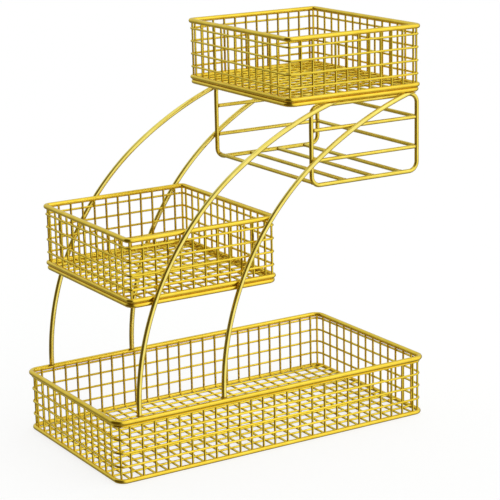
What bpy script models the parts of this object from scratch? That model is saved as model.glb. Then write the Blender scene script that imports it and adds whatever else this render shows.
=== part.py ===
"""A three-tier fruit basket stand of gilt steel wire.

A long mesh basket rests on the ground. Four bent rods rise from its rim, pass
outside a smaller middle basket and end under a top basket of the same kind.
A wire rack, open at its left end, hangs between the rods under the top basket.
Metres, +Z up, front towards -Y. The origin is the middle of the bottom
basket's footprint, on the ground.
"""
import bpy
import bmesh
from math import cos, pi, radians, sin
from mathutils import Matrix, Vector

# Clearance that welded neighbours keep
GAP = 0.0003

# How far a tie wire's centre stands off the wires it crosses, and how close points are to be one
LAP_SHARE = 0.75
MERGE_SHARE = 0.1

# Wire and rod diameters
MESH_WIRE = 0.0024
BOTTOM_RIM_WIRE = 0.0054
BOTTOM_BASE_WIRE = 0.0048
SMALL_RIM_WIRE = 0.0052
SMALL_BASE_WIRE = 0.0048
SUPPORT_WIRE = 0.0046
ROD_WIRE = 0.0053
FRAME_WIRE = 0.0047
RAIL_WIRE = 0.0042

# Basket plans, between ring centre-lines
BOTTOM_LENGTH = 0.3750
MIDDLE_LENGTH = 0.1689
TOP_LENGTH = 0.1630
MIDDLE_WIDTH = 0.1900
BOTTOM_CORNER = 0.0090
SMALL_CORNER = 0.0050
SUPPORT_CORNER = 0.0080
RIM_OVERHANG = 0.0010

# Basket heights, base ring centre to rim centre, and the rows of the mesh
BOTTOM_HEIGHT = 0.0623
SMALL_HEIGHT = 0.0616
BOTTOM_LOW_ROW = 0.0153
SMALL_LOW_ROW = 0.0115
SMALL_RAIL_DROP = 0.0083

# Tiers: support ring centres above the ground, and the middle basket's setback
MIDDLE_LEVEL = 0.1799
TOP_LEVEL = 0.3609
MIDDLE_SETBACK = 0.0236

# First and last mesh columns, from the ring centre-lines
BOTTOM_LEFT_MARGIN = 0.0138
BOTTOM_RIGHT_MARGIN = 0.0115
BOTTOM_FRONT_MARGIN = 0.0181
BOTTOM_BACK_MARGIN = 0.0134
MIDDLE_LEFT_MARGIN = 0.0162
MIDDLE_RIGHT_MARGIN = 0.0113
MIDDLE_FRONT_MARGIN = 0.0168
MIDDLE_BACK_MARGIN = 0.0091
TOP_LEFT_MARGIN = 0.0154
TOP_RIGHT_MARGIN = 0.0071
TOP_FRONT_MARGIN = 0.0232
TOP_BACK_MARGIN = 0.0099

# Gaps between mesh columns: the long basket's cells widen past its middle
LONG_COLUMN_SHARES = (1.0,) * 12 + (1.104,) * 5 + (1.008,) * 7
SMALL_COLUMN_SHARES = (1.0,) * 10
SIDE_COLUMN_SHARES = (1.0,) * 12
HOOP_COUNT = 3

# Bent rods: a short leg, a lower bend and a wider upper bend
ROD_SETBACK = 0.0257
ROD_SPACING = 0.0986
ROD_LEG = 0.0037
FOOT_INSET = 0.0032
TIP_INSET = 0.0006
TIP_MARGIN = 0.0130
LOWER_BEND = radians(54.7)
TIP_LEAN = radians(73.0)
LOWER_RISE_SHARE = 0.80

# Rack under the top basket
RACK_LENGTH = 0.1342
RACK_DROP = 0.0832
RACK_CORNER = 0.0100
UPPER_RAIL_DROP = 0.0254
LOWER_RAIL_DROP = 0.0574
LAST_SLAT_MARGIN = 0.0191
SLAT_SHARES = (1.143, 1.0, 1.0)

# Facets of the round stock, and steps of its bends
STOCK_SIDES = 8
MESH_SIDES = 4
RING_STEPS = 6
HOOP_STEPS = 4
RAIL_STEPS = 3
FRAME_STEPS = 5
LOWER_BEND_STEPS = 10
UPPER_BEND_STEPS = 4

# Sizes that follow from those above
mesh_radius = MESH_WIRE / 2
rod_radius = ROD_WIRE / 2
frame_radius = FRAME_WIRE / 2
rail_radius = RAIL_WIRE / 2
rod_y = MIDDLE_WIDTH / 2 + SMALL_RIM_WIRE / 2 + GAP + rod_radius
bottom_width = 2 * (rod_y + FOOT_INSET - RIM_OVERHANG)
top_width = 2 * (rod_y - TIP_INSET)
bottom_base_z = BOTTOM_BASE_WIRE / 2
bottom_rim_z = bottom_base_z + BOTTOM_HEIGHT
left_end = -BOTTOM_LENGTH / 2
support_drop = SUPPORT_WIRE / 2 + GAP + SMALL_BASE_WIRE / 2
ridge_lap = LAP_SHARE * MESH_WIRE
hoop_offset = MESH_WIRE + GAP

# The mesh stands in from the ring centre-lines, so that its hoops are flush with the small rims
mesh_inset = hoop_offset + mesh_radius - SMALL_RIM_WIRE / 2

foot_z = bottom_rim_z + BOTTOM_RIM_WIRE / 2 + GAP
tip_z = TOP_LEVEL - SUPPORT_WIRE / 2 - GAP
bend_rise = tip_z - foot_z - ROD_LEG
lower_radius = LOWER_RISE_SHARE * bend_rise / sin(LOWER_BEND)
upper_radius = (1 - LOWER_RISE_SHARE) * bend_rise / (sin(TIP_LEAN) - sin(LOWER_BEND))
rod_reach = lower_radius * (1 - cos(LOWER_BEND)) + upper_radius * (cos(LOWER_BEND) - cos(TIP_LEAN))
left_foot_x = left_end + ROD_SETBACK
right_foot_x = left_foot_x + ROD_SPACING
top_right_end = right_foot_x + rod_reach + TIP_MARGIN

rack_y = rod_y - rod_radius - GAP - frame_radius
rack_top_z = TOP_LEVEL - SUPPORT_WIRE / 2 - GAP - frame_radius
rack_bottom_z = rack_top_z - RACK_DROP
rack_left_x = top_right_end - RACK_LENGTH


def remove_scene_objects():
    for obj in list(bpy.data.objects):
        bpy.data.objects.remove(obj, do_unlink=True)


def gilt(name, colour, roughness):
    """Polished gold-coloured plating on steel wire."""
    material = bpy.data.materials.new(name + "_gilt")
    material.use_nodes = True
    shader = material.node_tree.nodes["Principled BSDF"]
    shader.inputs["Base Color"].default_value = (*colour, 1.0)
    shader.inputs["Roughness"].default_value = roughness
    shader.inputs["Metallic"].default_value = 1.0
    material.diffuse_color = (*colour, 1.0)
    return material


def mesh_gilt(name):
    return gilt(name, (0.72, 0.50, 0.08), 0.30)


def ring_gilt(name):
    return gilt(name, (0.80, 0.58, 0.09), 0.24)


def rod_gilt(name):
    return gilt(name, (0.78, 0.62, 0.14), 0.20)


def rack_gilt(name):
    return gilt(name, (0.76, 0.56, 0.12), 0.24)


def empty(name, place):
    frame = bpy.data.objects.new(name, None)
    frame.location = place
    bpy.context.scene.collection.objects.link(frame)
    return frame


def new_object(name, shape):
    """A scene object from a closed bmesh, which it frees."""
    bmesh.ops.recalc_face_normals(shape, faces=shape.faces)
    mesh = bpy.data.meshes.new(name)
    shape.to_mesh(mesh)
    shape.free()
    obj = bpy.data.objects.new(name, mesh)
    bpy.context.scene.collection.objects.link(obj)
    return obj


def finish(obj, material, parent=None, place=(0, 0, 0), turn=0.0):
    """Smooth shading, material and place of a finished piece."""
    obj.data.shade_smooth()
    obj.data.set_sharp_from_angle(angle=radians(60))
    obj.data.materials.clear()
    obj.data.materials.append(material)
    obj.parent = parent
    obj.location = place
    obj.rotation_euler.z = turn
    return obj


def united(body, tool):
    """The body fused with the tool, whose object is removed."""
    fuse = body.modifiers.new("fuse", "BOOLEAN")
    fuse.operation = "UNION"
    fuse.solver = "EXACT"
    fuse.object = tool
    graph = bpy.context.evaluated_depsgraph_get()
    fused = bpy.data.meshes.new_from_object(body.evaluated_get(graph))
    body.modifiers.remove(fuse)
    body.data = fused
    bpy.data.objects.remove(tool, do_unlink=True)
    return body


def section_places(route, normal, closed):
    """Mitred section frames along a flat route, one matrix for each point."""
    places = []
    for i, point in enumerate(route):
        leaving = route[(i + 1) % len(route)] - point
        arriving = point - route[i - 1]
        if not closed and i == 0:
            arriving = leaving
        if not closed and i == len(route) - 1:
            leaving = arriving
        tangent = (arriving.normalized() + leaving.normalized()).normalized()
        across = normal.cross(tangent) / tangent.dot(leaving.normalized())
        columns = (across, normal, tangent)
        place = Matrix([[column[row] for column in columns] for row in range(3)]).to_4x4()
        place.translation = point
        places.append(place)
    return places


def level_cut(place):
    """The same section, cut by a level plane instead of square to the wire."""
    tangent = place.col[2].to_3d()
    across = place.col[0].to_3d()
    level = across - tangent * across.z / tangent.z
    place.col[0] = level.to_4d()
    place.col[0].w = 0
    return place


def flats_radius(wire):
    """Corner radius of stock whose flats lie the wire's radius from its centre."""
    return wire / 2 / cos(pi / STOCK_SIDES)


def add_tube(shape, places, radius, sides, phase, closed):
    """Extrudes one section through the places and closes its ends."""
    section = Matrix.Rotation(phase, 4, "Z")
    made = bmesh.ops.create_circle(shape, segments=sides, radius=radius, matrix=places[0] @ section)
    verts = made["verts"]
    edges = list({edge for vert in verts for edge in vert.link_edges})
    first_edges = edges
    stops = places[1:] + places[:1] if closed else places[1:]
    before = places[0]
    for place in stops:
        grown = bmesh.ops.extrude_edge_only(shape, edges=edges)["geom"]
        verts = [item for item in grown if isinstance(item, bmesh.types.BMVert)]
        edges = [item for item in grown if isinstance(item, bmesh.types.BMEdge)]
        bmesh.ops.transform(shape, matrix=place @ before.inverted(), verts=verts)
        before = place
    if closed:
        bmesh.ops.remove_doubles(shape, verts=shape.verts, dist=MERGE_SHARE * GAP)
    else:
        bmesh.ops.contextual_create(shape, geom=first_edges)
        bmesh.ops.contextual_create(shape, geom=edges)


def stock(name, route, normal, wire, closed=False, level_tip=False):
    """A length of round stock as an object."""
    shape = bmesh.new()
    places = section_places(route, normal, closed)
    if level_tip:
        places[-1] = level_cut(places[-1])
    add_tube(shape, places, flats_radius(wire), STOCK_SIDES, pi / STOCK_SIDES, closed)
    return new_object(name, shape)


def add_mesh_wire(shape, route, normal, closed=False):
    """A mesh wire of square section, ridges facing along and across the normal."""
    add_tube(shape, section_places(route, normal, closed), mesh_radius, MESH_SIDES, 0.0, closed)


def arc(centre, radius, start, end, steps):
    turns = [start + (end - start) * i / steps for i in range(steps + 1)]
    return [centre + radius * Vector((cos(turn), sin(turn), 0)) for turn in turns]


def rounded_loop(length, width, corner, steps, z=0.0):
    """A rectangle with round corners, run anticlockwise from its front right corner."""
    across = length / 2 - corner
    deep = width / 2 - corner
    centres = ((across, -deep), (across, deep), (-across, deep), (-across, -deep))
    route = []
    for quarter, (x, y) in enumerate(centres):
        start = (quarter - 1) * pi / 2
        route += arc(Vector((x, y, z)), corner, start, start + pi / 2, steps)
    return route


def spread(first, last, gap_shares):
    """Places from first to last, with gaps in proportion to the shares."""
    unit = (last - first) / sum(gap_shares)
    places = [first]
    for share in gap_shares:
        places.append(places[-1] + unit * share)
    return places


class Basket:
    """The plan and the levels of one basket, about the centre of its base ring.

    Floor wires end at floor_edge, inside the base ring, and uprights stand on the ring at seat_z.
    """

    def __init__(self, name, length, width, corner, base_wire, low_row):
        self.name = name
        self.length = length
        self.width = width
        self.corner = corner
        self.base_wire = base_wire
        self.low_row = low_row
        self.mesh_length = length - 2 * mesh_inset
        self.mesh_width = width - 2 * mesh_inset
        self.mesh_corner = corner - mesh_inset
        self.seat_z = base_wire / 2 + GAP
        self.floor_edge = max(base_wire / 2, mesh_inset + mesh_radius) + GAP

    def set_rim(self, wire, height, overhang, rail_drop):
        self.rim_wire = wire
        self.rim_z = height
        self.overhang = overhang
        self.column_top = height - wire / 2 - GAP
        self.rail_z = height - rail_drop

    def set_columns(self, left, right, gap_shares, front, back):
        self.columns = spread(left - self.length / 2, self.length / 2 - right, gap_shares)
        self.side_columns = spread(front - self.width / 2, self.width / 2 - back, SIDE_COLUMN_SHARES)


def rim(basket, frame):
    grown = 2 * basket.overhang
    corner = basket.corner + basket.overhang
    route = rounded_loop(basket.length + grown, basket.width + grown, corner, RING_STEPS)
    obj = stock(basket.name + "_rim", route, Vector((0, 0, 1)), basket.rim_wire, closed=True)
    return finish(obj, ring_gilt(obj.name), frame, (0, 0, basket.rim_z))


def base_ring(basket, frame):
    route = rounded_loop(basket.length, basket.width, basket.corner, RING_STEPS)
    obj = stock(basket.name + "_base_ring", route, Vector((0, 0, 1)), basket.base_wire, closed=True)
    return finish(obj, ring_gilt(obj.name), frame)


def support_ring(basket, frame):
    route = rounded_loop(basket.length, basket.width, SUPPORT_CORNER, RING_STEPS)
    obj = stock(basket.name + "_support_ring", route, Vector((0, 0, 1)), SUPPORT_WIRE, closed=True)
    return finish(obj, ring_gilt(obj.name), frame, (0, 0, -support_drop))


def hoop(basket, frame, number):
    """A level mesh wire that runs right round outside the columns."""
    grown = 2 * hoop_offset
    corner = basket.mesh_corner + hoop_offset
    route = rounded_loop(basket.mesh_length + grown, basket.mesh_width + grown, corner, HOOP_STEPS)
    shape = bmesh.new()
    add_mesh_wire(shape, route, Vector((0, 0, 1)), closed=True)
    obj = new_object(f"{basket.name}_hoop_{number}", shape)
    step = (basket.rail_z - basket.low_row) / HOOP_COUNT
    return finish(obj, mesh_gilt(obj.name), frame, (0, 0, basket.low_row + step * (HOOP_COUNT - number)))


def add_column(shape, x, y, bottom, top, facing=0.0):
    outward = Vector((sin(facing), -cos(facing), 0))
    add_mesh_wire(shape, [Vector((x, y, bottom)), Vector((x, y, top))], outward)


def wall_rail(run, plane, corner, z, with_corners):
    """The top mesh wire of a wall along X, lapped onto the outer ridge of its columns."""
    end = run / 2 - corner
    outer = corner + ridge_lap
    if not with_corners:
        reach = end - 2 * GAP
        return [Vector((-reach, plane - ridge_lap, z)), Vector((reach, plane - ridge_lap, z))]
    # Each end leaves its bend straight for one gap's length, so that it is cut square
    lead = Vector((0, GAP, 0))
    left = arc(Vector((-end, plane + corner, z)), outer, pi, 3 * pi / 2, RAIL_STEPS)
    right = arc(Vector((end, plane + corner, z)), outer, 3 * pi / 2, 2 * pi, RAIL_STEPS)
    return [left[0] + lead] + left + right + [right[-1] + lead]


def wall(basket, frame, side, turn, run, depth, columns, with_corners):
    """One mesh wall: upright columns fused to a rail, built along X and turned to its side."""
    plane = -depth / 2
    corner = basket.mesh_corner
    uprights = bmesh.new()
    for x in columns:
        add_column(uprights, x, plane, basket.seat_z, basket.column_top)
    if with_corners:
        reach = corner * sin(pi / 4)
        for hand in (-1, 1):
            x = hand * (run / 2 - corner + reach)
            add_column(uprights, x, plane + corner - reach, basket.seat_z, basket.column_top, hand * pi / 4)
    tool = new_object("uprights", uprights)
    rail = bmesh.new()
    add_mesh_wire(rail, wall_rail(run, plane, corner, basket.rail_z, with_corners), Vector((0, 0, 1)))
    obj = united(new_object(f"{basket.name}_{side}_wall", rail), tool)
    return finish(obj, mesh_gilt(obj.name), frame, turn=turn)


def walls(basket, frame):
    length, width = basket.mesh_length, basket.mesh_width
    mirrored = [-x for x in basket.columns]
    side_mirrored = [-y for y in basket.side_columns]
    wall(basket, frame, "front", 0.0, length, width, basket.columns, True)
    wall(basket, frame, "back", pi, length, width, mirrored, True)
    wall(basket, frame, "left", -pi / 2, width, length, side_mirrored, False)
    wall(basket, frame, "right", pi / 2, width, length, basket.side_columns, False)


def floor_wires(basket, frame, name, places, half_run, z, tie_z, along_x):
    """Parallel floor wires, fused at both ends to a tie wire that crosses them."""
    def point(along, across, height):
        return Vector((along, across, height)) if along_x else Vector((across, along, height))

    up = Vector((0, 0, 1))
    wires = bmesh.new()
    for place in places:
        add_mesh_wire(wires, [point(-half_run, place, z), point(half_run, place, z)], up)
    tool = new_object("wires", wires)
    ties = bmesh.new()
    first, last = min(places) - MESH_WIRE, max(places) + MESH_WIRE
    for hand in (-1, 1):
        reach = hand * (half_run - mesh_radius)
        add_mesh_wire(ties, [point(reach, first, tie_z), point(reach, last, tie_z)], up)
    obj = united(new_object(f"{basket.name}_{name}", ties), tool)
    return finish(obj, mesh_gilt(obj.name), frame)


def floors(basket, frame):
    """Cross wires level with the base ring's centre, and long wires on them."""
    cross_half = basket.width / 2 - basket.floor_edge
    long_half = basket.length / 2 - basket.floor_edge
    floor_wires(basket, frame, "floor_cross_wires", basket.columns, cross_half, 0.0, ridge_lap, along_x=False)
    floor_wires(basket, frame, "floor_long_wires", basket.side_columns, long_half, hoop_offset,
                hoop_offset - ridge_lap, along_x=True)


def basket_pieces(basket, place):
    frame = empty(basket.name + "_basket", place)
    rim(basket, frame)
    base_ring(basket, frame)
    for number in range(1, HOOP_COUNT + 1):
        hoop(basket, frame, number)
    walls(basket, frame)
    floors(basket, frame)
    return frame


def bottom_basket():
    basket = Basket("bottom", BOTTOM_LENGTH, bottom_width, BOTTOM_CORNER, BOTTOM_BASE_WIRE, BOTTOM_LOW_ROW)
    rail_drop = BOTTOM_RIM_WIRE / 2 + GAP + mesh_radius
    basket.set_rim(BOTTOM_RIM_WIRE, BOTTOM_HEIGHT, RIM_OVERHANG, rail_drop)
    basket.set_columns(BOTTOM_LEFT_MARGIN, BOTTOM_RIGHT_MARGIN, LONG_COLUMN_SHARES,
                       BOTTOM_FRONT_MARGIN, BOTTOM_BACK_MARGIN)
    basket_pieces(basket, (0, 0, bottom_base_z))


def middle_basket():
    basket = Basket("middle", MIDDLE_LENGTH, MIDDLE_WIDTH, SMALL_CORNER, SMALL_BASE_WIRE, SMALL_LOW_ROW)
    basket.set_rim(SMALL_RIM_WIRE, SMALL_HEIGHT, 0.0, SMALL_RAIL_DROP)
    basket.set_columns(MIDDLE_LEFT_MARGIN, MIDDLE_RIGHT_MARGIN, SMALL_COLUMN_SHARES,
                       MIDDLE_FRONT_MARGIN, MIDDLE_BACK_MARGIN)
    centre_x = left_end + MIDDLE_SETBACK + MIDDLE_LENGTH / 2
    support_ring(basket, basket_pieces(basket, (centre_x, 0, MIDDLE_LEVEL + support_drop)))


def top_basket():
    basket = Basket("top", TOP_LENGTH, top_width, SMALL_CORNER, SMALL_BASE_WIRE, SMALL_LOW_ROW)
    basket.set_rim(SMALL_RIM_WIRE, SMALL_HEIGHT, 0.0, SMALL_RAIL_DROP)
    basket.set_columns(TOP_LEFT_MARGIN, TOP_RIGHT_MARGIN, SMALL_COLUMN_SHARES,
                       TOP_FRONT_MARGIN, TOP_BACK_MARGIN)
    centre_x = top_right_end - TOP_LENGTH / 2
    support_ring(basket, basket_pieces(basket, (centre_x, 0, TOP_LEVEL + support_drop)))


def rod_route():
    """A rod from its foot at the origin: up the leg, over the lower bend, then the upper bend."""
    route = [Vector((0, 0, 0)), Vector((0, 0, ROD_LEG))]
    for i in range(1, LOWER_BEND_STEPS + 1):
        lean = LOWER_BEND * i / LOWER_BEND_STEPS
        route.append(Vector((lower_radius * (1 - cos(lean)), 0, ROD_LEG + lower_radius * sin(lean))))
    joint = route[-1]
    for i in range(1, UPPER_BEND_STEPS + 1):
        lean = LOWER_BEND + (TIP_LEAN - LOWER_BEND) * i / UPPER_BEND_STEPS
        out = upper_radius * (cos(LOWER_BEND) - cos(lean))
        rise = upper_radius * (sin(lean) - sin(LOWER_BEND))
        route.append(joint + Vector((out, 0, rise)))
    return route


def rods():
    for side, y in (("front", -rod_y), ("back", rod_y)):
        for hand, x in (("left", left_foot_x), ("right", right_foot_x)):
            obj = stock(f"{side}_{hand}_rod", rod_route(), Vector((0, 1, 0)), ROD_WIRE, level_tip=True)
            finish(obj, rod_gilt(obj.name), None, (x, y, foot_z))


def upright_loop(length, height, corner, steps):
    """A rounded rectangle that stands in the XZ plane."""
    return [Vector((point.x, 0, point.y)) for point in rounded_loop(length, height, corner, steps)]


def rack_frames():
    centre = (rack_left_x + RACK_LENGTH / 2, (rack_top_z + rack_bottom_z) / 2)
    for side, y in (("front", -rack_y), ("back", rack_y)):
        route = upright_loop(RACK_LENGTH, RACK_DROP, RACK_CORNER, FRAME_STEPS)
        obj = stock(f"rack_{side}_frame", route, Vector((0, 1, 0)), FRAME_WIRE, closed=True)
        finish(obj, rack_gilt(obj.name), None, (centre[0], y, centre[1]))


def rack_rails():
    """Rails between the frames' uprights, at two levels on the front, the back and the right."""
    levels = (("upper", rack_top_z - UPPER_RAIL_DROP), ("lower", rack_top_z - LOWER_RAIL_DROP))
    run = RACK_LENGTH / 2 - frame_radius - GAP
    deep = rack_y - frame_radius - GAP
    centre_x = rack_left_x + RACK_LENGTH / 2
    for level, z in levels:
        for side, y in (("front", -rack_y), ("back", rack_y)):
            route = [Vector((-run, 0, 0)), Vector((run, 0, 0))]
            obj = stock(f"rack_{side}_{level}_rail", route, Vector((0, 0, 1)), RAIL_WIRE)
            finish(obj, rack_gilt(obj.name), None, (centre_x, y, z))
        route = [Vector((0, -deep, 0)), Vector((0, deep, 0))]
        obj = stock(f"rack_right_{level}_rail", route, Vector((0, 0, 1)), RAIL_WIRE)
        finish(obj, rack_gilt(obj.name), None, (top_right_end, 0, z))


def rack_slats():
    """Slats between the two frames: the first meets their rounded corners, the rest their bottom bars."""
    corner_rise = RACK_CORNER * (1 - sin(pi / 4))
    deep = rack_y - frame_radius - GAP
    places = spread(rack_left_x + corner_rise, top_right_end - LAST_SLAT_MARGIN, SLAT_SHARES)
    for number, x in enumerate(places, 1):
        z = rack_bottom_z + (corner_rise if number == 1 else 0)
        route = [Vector((0, -deep, 0)), Vector((0, deep, 0))]
        obj = stock(f"rack_slat_{number}", route, Vector((0, 0, 1)), RAIL_WIRE)
        finish(obj, rack_gilt(obj.name), None, (x, 0, z))


def rack():
    rack_frames()
    rack_rails()
    rack_slats()


remove_scene_objects()
bottom_basket()
middle_basket()
top_basket()
rods()
rack()
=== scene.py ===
"""Looks of a three-tier fruit basket stand of gilt wire.

Round wire, rings, rods and weld beads take the place of the faceted stock of
the model that is loaded. Metres, +Z up, front towards -Y.
"""
from math import asin, cos, pi, radians, sin, sqrt

import bmesh
import bpy
from mathutils import Matrix, Vector, noise


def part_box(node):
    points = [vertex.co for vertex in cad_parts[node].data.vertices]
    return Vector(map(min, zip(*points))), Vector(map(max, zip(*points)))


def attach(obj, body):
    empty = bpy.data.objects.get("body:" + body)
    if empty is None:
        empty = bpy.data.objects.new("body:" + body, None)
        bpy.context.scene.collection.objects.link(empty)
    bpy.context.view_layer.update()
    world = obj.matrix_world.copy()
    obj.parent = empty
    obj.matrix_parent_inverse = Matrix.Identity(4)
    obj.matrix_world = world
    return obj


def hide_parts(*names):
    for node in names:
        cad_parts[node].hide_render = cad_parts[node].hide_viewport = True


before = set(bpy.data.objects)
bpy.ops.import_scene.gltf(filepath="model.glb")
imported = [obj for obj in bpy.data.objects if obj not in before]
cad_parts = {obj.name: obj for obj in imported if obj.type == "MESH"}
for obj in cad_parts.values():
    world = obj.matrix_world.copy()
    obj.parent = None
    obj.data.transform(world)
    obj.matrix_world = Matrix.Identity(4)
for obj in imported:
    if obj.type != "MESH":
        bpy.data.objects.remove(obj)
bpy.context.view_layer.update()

X_AXIS = Vector((1, 0, 0))
Y_AXIS = Vector((0, 1, 0))
Z_AXIS = Vector((0, 0, 1))

# How far welded mesh wires sink into each other, and the clearance of the model's pieces
LAP = 0.0012
GAP = 0.0003

# A dark wire in the groove between two rings, as painted shade of the groove: its radius
GROOVE_SHADE_RADIUS = 0.0007

# Corner radii of the rings, and how far the mesh stands in from their centre-lines
RING_CORNERS = {"bottom": 0.0090, "middle": 0.0050, "top": 0.0050}
SUPPORT_CORNER = 0.0080
RIM_OVERHANGS = {"bottom": 0.0010, "middle": 0.0, "top": 0.0}
MESH_INSET = 0.0013
RACK_CORNER = 0.0100

# Mesh columns: margins from the ring centre-lines (left, right, front, back)
MARGINS = {
    "bottom": (0.0138, 0.0115, 0.0181, 0.0134),
    "middle": (0.0162, 0.0113, 0.0168, 0.0091),
    "top": (0.0154, 0.0071, 0.0232, 0.0099),
}
LONG_SHARES = (1.0,) * 12 + (1.104,) * 5 + (1.008,) * 7
SHORT_SHARES = (1.0,) * 10
SIDE_SHARES = (1.0,) * 12

# Bends of the rods
ROD_LEG = 0.0037
LOWER_BEND = radians(54.7)
TIP_LEAN = radians(73.0)
LOWER_RISE_SHARE = 0.80

# Rod tips, in radii: the length past the level they are cut at, and the bevel of the cut
TIP_OVERRUN = 4
TIP_BEVEL = 1 / 8
TIP_BEVEL_STEPS = 2

# Sides of the round wire and steps of its bends
RING_SIDES = 20
MESH_SIDES = 10
RAIL_SIDES = 14
ROD_SIDES = 24
RING_STEPS = 10
MESH_STEPS = 5
BEND_LENGTH = 0.006

# The hair between the last and the first ring of a closed wire, and how narrow a cut end is
SEAM = 0.0001
NOSE_SHARE = 0.72

# Faces that meet at less than this angle are shaded as one
SMOOTH_ANGLE = radians(35)

# The attribute that holds a point's place round and along its wire, and its shift from copy to copy
GRAIN = "wire_grain"
GRAIN_SHIFT = 0.37

# Spot welds: width and thickness in wire radii, and their facets
SPOT_WIDTH = 1.12
SPOT_THICKNESS = 0.55
SPOT_SIDES = 8
SPOT_STEPS = 5

# Weld beads: sizes along, across and out in radii of the wire, and their lumps
FOOT_BEAD = (1.25, 1.2, 0.45)
CROSSING_BEAD = (0.85, 0.5, 0.35)
TIP_BEAD = (2.2, 0.7, 0.3)
RAIL_BEAD = (1.15, 1.15, 0.45)
TIP_BEAD_INSET = 3
BEAD_DIVISIONS = 3
LUMP_PITCH = 1.7
LUMP_HEIGHT = 0.14
LUMP_SHIFT = 2.3

# Sockets of the node that mixes colours: the share and the two colours it takes, the colour it gives
MIX_SHARE, MIX_LOW, MIX_HIGH = 0, 6, 7
MIX_COLOUR = 2

# How much the drawn lines count in the colour and in the relief
LINES_IN_COLOUR = 0.45
LINES_IN_RELIEF = 0.35


# Wire

class Wire:
    """A round wire drawn out ring by ring. Each point keeps its place round and along the wire."""

    def __init__(self, shape, start, heading, up, radius, sides):
        self.shape = shape
        self.radius = radius
        self.travel = 0.0
        side = up.cross(heading)
        self.place = Matrix((side, up, heading)).transposed().to_4x4()
        self.place.translation = start
        self.grain = shape.verts.layers.float_vector.get(GRAIN)
        if self.grain is None:
            self.grain = shape.verts.layers.float_vector.new(GRAIN)
        made = bmesh.ops.create_circle(shape, segments=sides, radius=radius, matrix=self.place)
        self.verts = made["verts"]
        self.edges = list({edge for vert in self.verts for edge in vert.link_edges})
        self.first_verts = self.verts
        self.first_edges = self.edges
        back = self.place.inverted()
        for vert in self.verts:
            vert[self.grain] = back @ vert.co

    def step(self, place, length, scale=1.0):
        grown = bmesh.ops.extrude_edge_only(self.shape, edges=self.edges)["geom"]
        self.verts = [item for item in grown if isinstance(item, bmesh.types.BMVert)]
        self.edges = [item for item in grown if isinstance(item, bmesh.types.BMEdge)]
        move = place @ Matrix.Scale(scale, 4) @ self.place.inverted()
        bmesh.ops.transform(self.shape, matrix=move, verts=self.verts)
        self.place = place
        self.travel += length
        for vert in self.verts:
            vert[self.grain].z = self.travel

    def run(self, length):
        heading = self.place.col[2].to_3d()
        self.step(Matrix.Translation(heading * length) @ self.place, length)

    def bend(self, angle, radius, axis, steps):
        heading = self.place.col[2].to_3d()
        centre = self.place.translation + axis.cross(heading) * radius
        turn = Matrix.Translation(centre) @ Matrix.Rotation(angle / steps, 4, axis)
        turn = turn @ Matrix.Translation(-centre)
        for _ in range(steps):
            self.step(turn @ self.place, radius * angle / steps)

    def nose(self, opening):
        """A cut end with its edge taken off, opening out from the first ring or closing the last."""
        reach = self.radius * (1 - NOSE_SHARE)
        heading = self.place.col[2].to_3d()
        scale = 1 / NOSE_SHARE if opening else NOSE_SHARE
        self.step(Matrix.Translation(heading * reach) @ self.place, reach, scale)

    def cap(self):
        bmesh.ops.contextual_create(self.shape, geom=self.first_edges)
        bmesh.ops.contextual_create(self.shape, geom=self.edges)

    def close(self):
        """Joins the last ring to the first, which lies a hair further on."""
        self.step(Matrix.Translation(self.place.col[2].to_3d() * SEAM) @ self.place, SEAM)
        bmesh.ops.remove_doubles(self.shape, verts=self.verts + self.first_verts, dist=SEAM / 4)


def cut_wire(shape, start, heading, up, radius, sides):
    """A wire that starts with a cut end at the start point."""
    wire = Wire(shape, start, heading, up, radius * NOSE_SHARE, sides)
    wire.radius = radius
    wire.nose(opening=True)
    return wire


def end_wire(wire):
    wire.nose(opening=False)
    wire.cap()


def straight(shape, start, end, up, radius, sides):
    """A straight cut length from one point to another."""
    way = end - start
    nose = 2 * radius * (1 - NOSE_SHARE)
    wire = cut_wire(shape, start, way.normalized(), up, radius, sides)
    wire.run(way.length - nose)
    end_wire(wire)


def loop(shape, length, width, corner, centre, radius, sides, steps, flat=True):
    """A closed rectangle with round corners: level, or upright in the XZ plane."""
    along = X_AXIS
    axis = Z_AXIS if flat else -Y_AXIS
    deep = axis.cross(along)
    wire = Wire(shape, centre - deep * width / 2, along, axis, radius, sides)
    for run, share in ((length, 0.5), (width, 1), (length, 1), (width, 1)):
        wire.run((run - 2 * corner) * share)
        wire.bend(pi / 2, corner, axis, steps)
    wire.run(length / 2 - corner - SEAM)
    wire.close()


def piece(name, shape, material, nodes):
    """A finished piece that rides on the stand and stands for the given nodes."""
    bmesh.ops.recalc_face_normals(shape, faces=shape.faces)
    mesh = bpy.data.meshes.new(name)
    shape.to_mesh(mesh)
    shape.free()
    mesh.shade_smooth()
    mesh.set_sharp_from_angle(angle=SMOOTH_ANGLE)
    mesh.materials.append(material)
    obj = bpy.data.objects.new(name, mesh)
    bpy.context.scene.collection.objects.link(obj)
    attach(obj, "root")
    if nodes:
        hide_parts(*nodes)


# Weld beads

def copies(shape, offsets):
    """Copies all that the shape holds so far to further places."""
    parts = shape.verts[:] + shape.edges[:] + shape.faces[:]
    grain = shape.verts.layers.float_vector.get(GRAIN)
    for number, offset in enumerate(offsets, 1):
        made = bmesh.ops.duplicate(shape, geom=parts)["geom"]
        verts = [item for item in made if isinstance(item, bmesh.types.BMVert)]
        bmesh.ops.translate(shape, verts=verts, vec=offset)
        if grain is not None:
            for vert in verts:
                vert[grain].z += number * GRAIN_SHIFT


def spot(shape, at, out, wide, thick):
    """The flash of a spot weld between two crossing wires, flattened along out."""
    place = out.to_track_quat("Z", "Y").to_matrix().to_4x4()
    place.translation = at
    size = Matrix.Diagonal((wide, wide, thick, 1))
    bmesh.ops.create_uvsphere(shape, u_segments=SPOT_SIDES, v_segments=SPOT_STEPS, radius=1,
                              matrix=place @ size)


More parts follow.
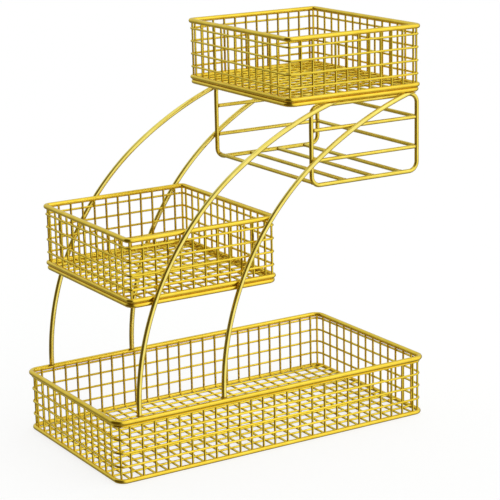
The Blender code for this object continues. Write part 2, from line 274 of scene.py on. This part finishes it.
def bead(shape, at, out, along, radius, shares, seed):
    """A lumpy bead of weld metal on a wire of the radius, its shares measured along, across and out."""
    across = out.cross(along)
    place = Matrix((along, across, out)).transposed().to_4x4()
    place.translation = at
    made = bmesh.ops.create_icosphere(shape, subdivisions=BEAD_DIVISIONS, radius=1, matrix=Matrix())
    for vert in made["verts"]:
        lump = noise.noise(vert.co * LUMP_PITCH + Vector((seed, seed * LUMP_SHIFT, 0)))
        vert.co *= 1 + LUMP_HEIGHT * lump
    size = Matrix.Diagonal((*(share * radius for share in shares), 1))
    bmesh.ops.transform(shape, matrix=place @ size, verts=made["verts"])


# Shader groups

def new_group(name, inputs, output):
    """A group of plain values, with the nodes that bring them in and take the result out."""
    group = bpy.data.node_groups.new(name, "ShaderNodeTree")
    for label, value in inputs:
        socket = group.interface.new_socket(label, in_out="INPUT", socket_type="NodeSocketFloat")
        socket.default_value = value
    group.interface.new_socket(output, in_out="OUTPUT", socket_type="NodeSocketFloat")
    start = group.nodes.new("NodeGroupInput")
    end = group.nodes.new("NodeGroupOutput")
    return group, start.outputs, end.inputs


def add_node(tree, kind, settings=(), values=(), links=()):
    """A node with its settings, socket values and incoming links."""
    node = tree.nodes.new(kind)
    for label, value in settings:
        setattr(node, label, value)
    for label, value in values:
        node.inputs[label].default_value = value
    for label, source in links:
        tree.links.new(source, node.inputs[label])
    return node


def blend(tree, share, low, high):
    """A colour between low and high by the share."""
    node = add_node(tree, "ShaderNodeMix", [("data_type", "RGBA")])
    for index, source in ((MIX_SHARE, share), (MIX_LOW, low), (MIX_HIGH, high)):
        if isinstance(source, bpy.types.NodeSocket):
            tree.links.new(source, node.inputs[index])
        else:
            node.inputs[index].default_value = source
    return node.outputs[MIX_COLOUR]


def cloudy_group():
    """Slow patches over the whole stand, in object space."""
    group, source, result = new_group("cloudy", [("Scale", 60.0)], "Mask")
    place = add_node(group, "ShaderNodeTexCoord")
    cloud = add_node(group, "ShaderNodeTexNoise", values=[("Detail", 3.0), ("Roughness", 0.55)],
                     links=[("Vector", place.outputs["Object"]), ("Scale", source["Scale"])])
    clearer = add_node(group, "ShaderNodeMapRange", values=[("From Min", 0.32), ("From Max", 0.68)],
                       links=[("Value", cloud.outputs["Fac"])])
    group.links.new(clearer.outputs["Result"], result["Mask"])
    return group


def drawn_group():
    """Fine lines that the drawing die leaves along a wire, from the wire's own coordinates."""
    group, source, result = new_group("drawn", [("Fineness", 3000.0), ("Stretch", 0.012)], "Mask")
    grain = add_node(group, "ShaderNodeAttribute", [("attribute_name", GRAIN)])
    parts = add_node(group, "ShaderNodeSeparateXYZ", links=[("Vector", grain.outputs["Vector"])])
    slow = add_node(group, "ShaderNodeMath", [("operation", "MULTIPLY")],
                    links=[(0, parts.outputs["Z"]), (1, source["Stretch"])])
    lined = add_node(group, "ShaderNodeCombineXYZ", links=[
        ("X", parts.outputs["X"]), ("Y", parts.outputs["Y"]), ("Z", slow.outputs[0])])
    lines = add_node(group, "ShaderNodeTexNoise", values=[("Detail", 2.0), ("Roughness", 0.6)],
                     links=[("Vector", lined.outputs[0]), ("Scale", source["Fineness"])])
    group.links.new(lines.outputs["Fac"], result["Mask"])
    return group


def peel_group():
    """The faint orange peel of plating, as a height."""
    group, source, result = new_group("peel", [("Scale", 900.0)], "Height")
    place = add_node(group, "ShaderNodeTexCoord")
    bumps = add_node(group, "ShaderNodeTexNoise", values=[("Detail", 1.0), ("Roughness", 0.4)],
                     links=[("Vector", place.outputs["Object"]), ("Scale", source["Scale"])])
    group.links.new(bumps.outputs["Fac"], result["Height"])
    return group


CLOUDY = cloudy_group()
DRAWN = drawn_group()
PEEL = peel_group()


def gilt(name, bright, deep, gloss, dull, patch=70.0, relief=0.00003):
    """Polished gold-coloured plating: bright and deep patches, drawn lines and orange peel."""
    material = bpy.data.materials.new(name)
    material.use_nodes = True
    tree = material.node_tree
    shader = tree.nodes["Principled BSDF"]
    shader.inputs["Metallic"].default_value = 1.0
    cloud = add_node(tree, "ShaderNodeGroup", [("node_tree", CLOUDY)], [("Scale", patch)])
    drawn = add_node(tree, "ShaderNodeGroup", [("node_tree", DRAWN)])
    bumps = add_node(tree, "ShaderNodeGroup", [("node_tree", PEEL)])
    mixed = add_node(tree, "ShaderNodeMath", [("operation", "MULTIPLY_ADD")],
                     [(1, LINES_IN_COLOUR)], [(0, drawn.outputs["Mask"]), (2, cloud.outputs["Mask"])])
    share = add_node(tree, "ShaderNodeMapRange", values=[("From Min", 0.1), ("From Max", 1.3)],
                     links=[("Value", mixed.outputs[0])])
    colour = blend(tree, share.outputs["Result"], (*deep, 1), (*bright, 1))
    tree.links.new(colour, shader.inputs["Base Color"])
    polish = add_node(tree, "ShaderNodeMapRange", values=[("To Min", dull), ("To Max", gloss)],
                      links=[("Value", share.outputs["Result"])])
    tree.links.new(polish.outputs["Result"], shader.inputs["Roughness"])
    height = add_node(tree, "ShaderNodeMath", [("operation", "MULTIPLY_ADD")],
                      [(1, LINES_IN_RELIEF)],
                      [(0, drawn.outputs["Mask"]), (2, bumps.outputs["Height"])])
    bump = add_node(tree, "ShaderNodeBump", values=[("Strength", 0.5), ("Distance", relief)],
                    links=[("Height", height.outputs[0])])
    tree.links.new(bump.outputs["Normal"], shader.inputs["Normal"])
    return material


mesh_gilt = gilt("mesh_gilt", (0.93, 0.71, 0.075), (0.82, 0.60, 0.040), gloss=0.14, dull=0.24)
ring_gilt = gilt("ring_gilt", (0.95, 0.69, 0.075), (0.85, 0.60, 0.045), gloss=0.14, dull=0.26)
rod_gilt = gilt("rod_gilt", (0.95, 0.80, 0.20), (0.88, 0.71, 0.13), gloss=0.12, dull=0.22)
rack_gilt = gilt("rack_gilt", (0.90, 0.71, 0.12), (0.79, 0.60, 0.07), gloss=0.16, dull=0.28)
# Darker weld metal for the welds; the same material also colours the groove wire between two rings as
# painted shade
weld_gilt = gilt("weld_gilt", (0.52, 0.33, 0.05), (0.26, 0.15, 0.02), gloss=0.30, dull=0.50,
                 patch=500.0, relief=0.0001)


# Baskets

def spread(first, last, shares):
    """Places from first to last, with gaps in proportion to the shares."""
    unit = (last - first) / sum(shares)
    places = [first]
    for share in shares:
        places.append(places[-1] + unit * share)
    return places


class Basket:
    """Sizes and places of one basket, read from the nodes that its pieces replace."""

    def __init__(self, name, column_shares):
        self.name = name
        low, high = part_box(name + "_base_ring")
        self.base_radius = (high.z - low.z) / 2
        self.base_z = (low.z + high.z) / 2
        self.middle = Vector(((low.x + high.x) / 2, 0, 0))
        self.length = high.x - low.x - 2 * self.base_radius
        self.width = high.y - low.y - 2 * self.base_radius
        low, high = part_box(name + "_rim")
        self.rim_radius = (high.z - low.z) / 2
        self.rim_z = (low.z + high.z) / 2
        self.corner = RING_CORNERS[name]
        self.overhang = RIM_OVERHANGS[name]
        self.hoops = [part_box(f"{name}_hoop_{number}") for number in (1, 2, 3)]
        self.wire_radius = (self.hoops[0][1].z - self.hoops[0][0].z) / 2
        self.spot_sizes = (SPOT_WIDTH * self.wire_radius, SPOT_THICKNESS * self.wire_radius)
        self.hoop_levels = [(low.z + high.z) / 2 for low, high in self.hoops]
        self.top_level = self.hoop_levels[0] + (self.hoop_levels[0] - self.hoop_levels[1])
        self.half_x = self.length / 2 - MESH_INSET
        self.half_y = self.width / 2 - MESH_INSET
        self.mesh_corner = self.corner - MESH_INSET
        left, right, front, back = MARGINS[name]
        self.columns = spread(left - self.length / 2, self.length / 2 - right, column_shares)
        self.side_columns = spread(front - self.width / 2, self.width / 2 - back, SIDE_SHARES)
        self.cross_z = self.base_z
        self.long_z = self.cross_z + 2 * self.wire_radius - LAP
        stand_off = MESH_INSET + self.overhang
        self.column_top = self.rim_z - sqrt(self.rim_radius ** 2 - stand_off ** 2) + LAP
        self.column_foot = self.base_z + sqrt(self.base_radius ** 2 - MESH_INSET ** 2) - LAP

    def levels(self):
        return [self.top_level] + self.hoop_levels


def ring(basket, node, radius, z, grown, corner):
    shape = bmesh.new()
    loop(shape, basket.length + 2 * grown, basket.width + 2 * grown, corner,
         basket.middle + Z_AXIS * z, radius, RING_SIDES, RING_STEPS)
    piece(node + "_round", shape, ring_gilt, [node])


def rings(basket):
    ring(basket, basket.name + "_rim", basket.rim_radius, basket.rim_z, basket.overhang,
         basket.corner + basket.overhang)
    ring(basket, basket.name + "_base_ring", basket.base_radius, basket.base_z, 0, basket.corner)
    if basket.name != "bottom":
        low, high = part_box(basket.name + "_support_ring")
        ring(basket, basket.name + "_support_ring", (high.z - low.z) / 2, (low.z + high.z) / 2, 0,
             SUPPORT_CORNER)
        # A dark wire laid in the groove between the rings: painted shade of the groove
        groove_shade_line(basket, high.z + GAP / 2)


def groove_shade_line(basket, z):
    """A dark wire that closes the groove between the base ring and the support ring, as painted shade of
    the groove.
    """
    shape = bmesh.new()
    loop(shape, basket.length, basket.width, basket.corner, basket.middle + Z_AXIS * z, GROOVE_SHADE_RADIUS,
         MESH_SIDES, MESH_STEPS)
    piece(basket.name + "_ring_groove_shade", shape, weld_gilt, [])


def hoops(basket):
    grown = 2 * basket.wire_radius - LAP
    for number, z in enumerate(basket.levels()):
        shape = bmesh.new()
        loop(shape, 2 * (basket.half_x + grown), 2 * (basket.half_y + grown), basket.mesh_corner + grown,
             basket.middle + Z_AXIS * z, basket.wire_radius, MESH_SIDES, MESH_STEPS)
        if number:
            node = f"{basket.name}_hoop_{number}"
            piece(node + "_round", shape, mesh_gilt, [node])
        else:
            piece(basket.name + "_top_hoop_round", shape, mesh_gilt, [])


def uprights(basket, sides, places, axis_start, along):
    """Straight uprights of two opposite walls, from the base ring up to the rim."""
    shape = bmesh.new()
    rise = Z_AXIS * (basket.column_top - basket.column_foot)
    for hand in (-1, 1):
        foot = basket.middle + axis_start * hand + along * places[0] + Z_AXIS * basket.column_foot
        straight(shape, foot, foot + rise, along, basket.wire_radius, MESH_SIDES)
    copies(shape, [along * (place - places[0]) for place in places[1:]])
    nodes = [f"{basket.name}_{side}_wall" for side in sides]
    piece(f"{basket.name}_{sides[0]}_uprights_round", shape, mesh_gilt, nodes)


def floor_wires(basket, kind, places, reach, z, run, along):
    """Parallel floor wires whose ends sink into the base ring's inner side."""
    shape = bmesh.new()
    centre = basket.middle + along * places[0] + Z_AXIS * z
    straight(shape, centre - run * reach, centre + run * reach, Z_AXIS, basket.wire_radius, MESH_SIDES)
    copies(shape, [along * (place - places[0]) for place in places[1:]])
    node = f"{basket.name}_floor_{kind}_wires"
    piece(node + "_round", shape, mesh_gilt, [node])


def mesh_wires(basket):
    uprights(basket, ("front", "back"), basket.columns, Y_AXIS * basket.half_y, X_AXIS)
    uprights(basket, ("left", "right"), basket.side_columns, X_AXIS * basket.half_x, Y_AXIS)
    floor_wires(basket, "cross", basket.columns, basket.width / 2 - basket.base_radius + LAP,
                basket.cross_z, Y_AXIS, X_AXIS)
    floor_wires(basket, "long", basket.side_columns, basket.half_x - basket.wire_radius + LAP,
                basket.long_z, X_AXIS, Y_AXIS)


def corner_places(basket):
    """Places of the four corner posts and the directions they face."""
    reach = basket.mesh_corner * (1 - sin(pi / 4))
    for hand_x in (-1, 1):
        for hand_y in (-1, 1):
            place = Vector((hand_x * (basket.half_x - reach), hand_y * (basket.half_y - reach), 0))
            yield basket.middle + place, Vector((hand_x, hand_y, 0)).normalized()


def corner_posts(basket):
    shape = bmesh.new()
    for place, out in corner_places(basket):
        start = place + Z_AXIS * basket.column_foot
        straight(shape, start, place + Z_AXIS * basket.column_top, out, basket.wire_radius, MESH_SIDES)
    piece(basket.name + "_corner_posts", shape, mesh_gilt, [])


def upright_spots(shape, basket, places, out):
    """Spot welds up the first upright at the four hoops and the rim, then copied to the others."""
    wide, thick = basket.spot_sizes
    touch = basket.wire_radius - LAP / 2
    for z in basket.levels():
        spot(shape, places[0] + out * touch + Z_AXIS * z, out, wide, thick)
    spot(shape, places[0] + out * touch / 2 + Z_AXIS * basket.column_top, Z_AXIS, wide, thick)
    copies(shape, [place - places[0] for place in places[1:]])


def mesh_spots(basket):
    """Spot welds wherever two mesh wires cross, and where they meet the rims."""
    name = basket.name
    for side, hand in (("front", -1), ("back", 1)):
        shape = bmesh.new()
        places = [basket.middle + Vector((x, hand * basket.half_y, 0)) for x in basket.columns]
        upright_spots(shape, basket, places, Y_AXIS * hand)
        piece(f"{name}_{side}_wall_welds", shape, weld_gilt, [])
    for side, hand in (("left", -1), ("right", 1)):
        shape = bmesh.new()
        places = [basket.middle + Vector((hand * basket.half_x, y, 0)) for y in basket.side_columns]
        upright_spots(shape, basket, places, X_AXIS * hand)
        piece(f"{name}_{side}_wall_welds", shape, weld_gilt, [])
    shape = bmesh.new()
    for place, out in corner_places(basket):
        at = place + out * (basket.wire_radius - LAP / 2)
        for z in basket.levels():
            spot(shape, at + Z_AXIS * z, out, *basket.spot_sizes)
    piece(name + "_corner_welds", shape, weld_gilt, [])
    shape = bmesh.new()
    level = basket.cross_z + basket.wire_radius - LAP / 2
    first = basket.columns[0]
    for y in basket.side_columns:
        spot(shape, basket.middle + Vector((first, y, level)), Z_AXIS, *basket.spot_sizes)
    copies(shape, [X_AXIS * (x - first) for x in basket.columns[1:]])
    piece(name + "_floor_welds", shape, weld_gilt, [])


def build_basket(name, column_shares):
    basket = Basket(name, column_shares)
    rings(basket)
    hoops(basket)
    mesh_wires(basket)
    corner_posts(basket)
    mesh_spots(basket)


# Rods

class RodLine:
    """The bent centre-line that the four rods share, from the foot at zero."""

    def __init__(self, rise):
        bend_rise = rise - ROD_LEG
        self.lower = LOWER_RISE_SHARE * bend_rise / sin(LOWER_BEND)
        self.upper = (1 - LOWER_RISE_SHARE) * bend_rise / (sin(TIP_LEAN) - sin(LOWER_BEND))
        self.joint_out = self.lower * (1 - cos(LOWER_BEND))
        self.joint_up = ROD_LEG + self.lower * sin(LOWER_BEND)

    def out_at(self, height):
        """How far out the centre-line is at a height above the foot."""
        if height < self.joint_up:
            lean = asin(max(0.0, (height - ROD_LEG) / self.lower))
            return self.lower * (1 - cos(lean))
        lean = asin(sin(LOWER_BEND) + (height - self.joint_up) / self.upper)
        return self.joint_out + self.upper * (cos(LOWER_BEND) - cos(lean))


def build_rod(node, rod_line):
    """One rod, cut off level at its tip. Gives its foot and its radius."""
    low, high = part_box(node)
    radius = (high.y - low.y) / 2
    y = (low.y + high.y) / 2
    foot = Vector((low.x + radius, y, low.z))
    shape = bmesh.new()
    wire = cut_wire(shape, foot, Z_AXIS, Y_AXIS, radius, ROD_SIDES)
    wire.run(ROD_LEG - radius * (1 - NOSE_SHARE))
    steps = round(rod_line.lower * LOWER_BEND / BEND_LENGTH)
    wire.bend(LOWER_BEND, rod_line.lower, Y_AXIS, steps)
    steps = round(rod_line.upper * (TIP_LEAN - LOWER_BEND) / BEND_LENGTH)
    wire.bend(TIP_LEAN - LOWER_BEND, rod_line.upper, Y_AXIS, steps)
    wire.run(TIP_OVERRUN * radius)
    wire.cap()
    parts = shape.verts[:] + shape.edges[:] + shape.faces[:]
    cut = bmesh.ops.bisect_plane(shape, geom=parts, plane_co=Z_AXIS * high.z, plane_no=Z_AXIS,
                                 clear_outer=True)
    rim_edges = [item for item in cut["geom_cut"] if isinstance(item, bmesh.types.BMEdge)]
    tip = bmesh.ops.contextual_create(shape, geom=rim_edges)["faces"]
    bmesh.ops.bevel(shape, geom=tip[0].edges[:], offset=radius * TIP_BEVEL, segments=TIP_BEVEL_STEPS,
                    profile=0.5, affect="EDGES", material=-1)
    piece(node + "_round", shape, rod_gilt, [node])
    return foot, radius


# Rack

def build_rack():
    """The two frames, and the bars between them with a bead at each end."""
    low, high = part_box("rack_front_frame")
    frame_radius = (high.y - low.y) / 2
    length = high.x - low.x - 2 * frame_radius
    height = high.z - low.z - 2 * frame_radius
    centre = (low + high) / 2
    for side, hand in (("front", 1), ("back", -1)):
        shape = bmesh.new()
        place = Vector((centre.x, centre.y * hand, centre.z))
        loop(shape, length, height, RACK_CORNER, place, frame_radius, RING_SIDES, RING_STEPS, flat=False)
        piece(f"rack_{side}_frame_round", shape, rack_gilt, [f"rack_{side}_frame"])
    bars = [f"rack_{side}_{level}_rail"
            for side in ("front", "back", "right") for level in ("upper", "lower")]
    bars += [f"rack_slat_{number}" for number in (1, 2, 3, 4)]
    ends = []
    for node in bars:
        low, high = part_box(node)
        radius = (high.z - low.z) / 2
        middle = (low + high) / 2
        way = X_AXIS if high.x - low.x > high.y - low.y else Y_AXIS
        half = way.dot(high - low) / 2 + GAP
        shape = bmesh.new()
        straight(shape, middle - way * half, middle + way * half, Z_AXIS, radius, RAIL_SIDES)
        piece(node + "_round", shape, rack_gilt, [node])
        ends += [(middle - way * half, way, radius), (middle + way * half, way, radius)]
    shape = bmesh.new()
    for seed, (at, way, radius) in enumerate(ends):
        bead(shape, at, way, Z_AXIS, radius, RAIL_BEAD, seed)
    piece("rack_welds", shape, weld_gilt, [])


def build_rods():
    low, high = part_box("front_left_rod")
    rod_line = RodLine(high.z - low.z)
    feet = {}
    for side in ("front", "back"):
        for hand in ("left", "right"):
            node = f"{side}_{hand}_rod"
            feet[node] = build_rod(node, rod_line)
    return rod_line, feet


def mid_level(node):
    low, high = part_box(node)
    return (low.z + high.z) / 2


def rod_side(rod_line, foot, tip_z, z, reach):
    """The place at a level that lies the reach away from a rod's centre-line."""
    out = rod_line.out_at(min(z, tip_z) - foot.z)
    return foot + Vector((out, 0, z - foot.z)) + reach


def rod_welds(rod_line, feet):
    """Beads at the feet, where the rods pass the middle basket and the rack, and under the top ring."""
    shape = bmesh.new()
    basket_levels = [mid_level("middle_" + part) for part in ("rim", "base_ring", "support_ring")]
    rail_levels = [mid_level(f"rack_front_{level}_rail") for level in ("upper", "lower")]
    rack_low, rack_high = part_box("rack_front_frame")
    ring_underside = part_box("top_support_ring")[0].z - GAP / 2
    seed = 0
    for node, (foot, radius) in feet.items():
        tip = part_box(node)[1]
        inward = -Y_AXIS if foot.y > 0 else Y_AXIS
        reach = inward * (radius + GAP / 2)
        bead(shape, foot - Z_AXIS * GAP / 2, Z_AXIS, X_AXIS, radius, FOOT_BEAD, seed)
        crossings = [rod_side(rod_line, foot, tip.z, z, reach) for z in basket_levels]
        rack_levels = (rack_high.z - radius, *rail_levels)
        rack_places = [rod_side(rod_line, foot, tip.z, z, reach) for z in rack_levels]
        crossings += [place for place in rack_places if rack_low.x < place.x < rack_high.x]
        for place in crossings:
            seed += 1
            bead(shape, place, inward, X_AXIS, radius, CROSSING_BEAD, seed)
        seed += 1
        at = Vector((tip.x - TIP_BEAD_INSET * radius, foot.y, ring_underside))
        bead(shape, at, Z_AXIS, X_AXIS, radius, TIP_BEAD, seed)
    piece("rod_welds", shape, weld_gilt, [])


build_basket("bottom", LONG_SHARES)
build_basket("middle", SHORT_SHARES)
build_basket("top", SHORT_SHARES)
rod_line, feet = build_rods()
build_rack()
rod_welds(rod_line, feet)


# Studio

CAMERA_PLACE = (-0.96081, -1.63166, 0.67895)
CAMERA_TURN = (radians(75.5779), radians(1.1987), radians(-31.6484))

FLOOR_HALF = 6
FLOOR_DROP = 0.0002

# Soft lamps: place and size
LAMPS = {"key": ((1.3, -1.9, 1.6), (1.2, 1.2)), "top": ((0.2, 0.3, 2.2), (1.6, 1.2))}
LAMP_AIM = Vector((0, 0, 0.2))
LAMP_POWER = 2

# What the wire mirrors: the room's low, high, bright and dark parts
ROOM_LOW = (0.26, 0.25, 0.18, 1)
ROOM_HIGH = (0.72, 0.75, 0.74, 1)
ROOM_LIT = (1.04, 1.04, 1.06, 1)
ROOM_DARK = (0.10, 0.075, 0.03, 1)


def add_camera():
    data = bpy.data.cameras.new("camera")
    data.lens = 131.33
    data.sensor_width = 36.0
    camera = bpy.data.objects.new("camera", data)
    camera.location = CAMERA_PLACE
    camera.rotation_euler = CAMERA_TURN
    bpy.context.scene.collection.objects.link(camera)
    bpy.context.scene.camera = camera


def add_floor():
    shape = bmesh.new()
    bmesh.ops.create_grid(shape, x_segments=1, y_segments=1, size=FLOOR_HALF)
    bmesh.ops.translate(shape, verts=shape.verts, vec=(0, 0, -FLOOR_DROP))
    mesh = bpy.data.meshes.new("floor")
    shape.to_mesh(mesh)
    shape.free()
    floor = bpy.data.objects.new("floor", mesh)
    bpy.context.scene.collection.objects.link(floor)
    material = bpy.data.materials.new("floor_paper")
    material.use_nodes = True
    shader = material.node_tree.nodes["Principled BSDF"]
    shader.inputs["Base Color"].default_value = (0.25, 0.25, 0.25, 1)
    shader.inputs["Roughness"].default_value = 0.9
    shader.inputs["Emission Color"].default_value = (1, 1, 1, 1)
    shader.inputs["Emission Strength"].default_value = 0.80
    mesh.materials.append(material)
    floor.visible_glossy = False


def add_light(name, place, size):
    data = bpy.data.lights.new(name, "AREA")
    data.shape = "RECTANGLE"
    data.size, data.size_y = size
    data.energy = LAMP_POWER
    light = bpy.data.objects.new(name, data)
    light.location = place
    light.rotation_euler = (LAMP_AIM - Vector(place)).to_track_quat("-Z", "Y").to_euler()
    bpy.context.scene.collection.objects.link(light)


def facing(tree, direction, aim, start, full):
    """How far a direction faces an aim, from 0 at one cosine to 1 at another."""
    lean = add_node(tree, "ShaderNodeVectorMath", [("operation", "DOT_PRODUCT")],
                    [(1, Vector(aim).normalized())], [(0, direction)])
    share = add_node(tree, "ShaderNodeMapRange", [("interpolation_type", "SMOOTHSTEP")],
                     [("From Min", start), ("From Max", full)], [("Value", lean.outputs["Value"])])
    return share.outputs["Result"]


def add_world():
    """A soft room: pale above, dim below, bright in front on the right and dark on the left."""
    world = bpy.data.worlds.new("room")
    world.use_nodes = True
    tree = world.node_tree
    background = tree.nodes["Background"]
    direction = add_node(tree, "ShaderNodeTexCoord").outputs["Generated"]
    above = facing(tree, direction, (0.0, 0.0, 1.0), -0.35, 0.35)
    lit = facing(tree, direction, (0.45, -0.82, 0.25), 0.35, 0.70)
    shaded = facing(tree, direction, (-0.97, -0.15, 0.15), 0.35, 0.75)
    room = blend(tree, above, ROOM_LOW, ROOM_HIGH)
    room = blend(tree, lit, room, ROOM_LIT)
    room = blend(tree, shaded, room, ROOM_DARK)
    path = add_node(tree, "ShaderNodeLightPath")
    shown = blend(tree, path.outputs["Is Camera Ray"], room, (1, 1, 1, 1))
    tree.links.new(shown, background.inputs["Color"])
    bpy.context.scene.world = world


add_camera()
add_floor()
add_world()
for lamp, (place, size) in LAMPS.items():
    add_light(lamp, place, size)
bpy.context.scene.view_settings.view_transform = "Standard"
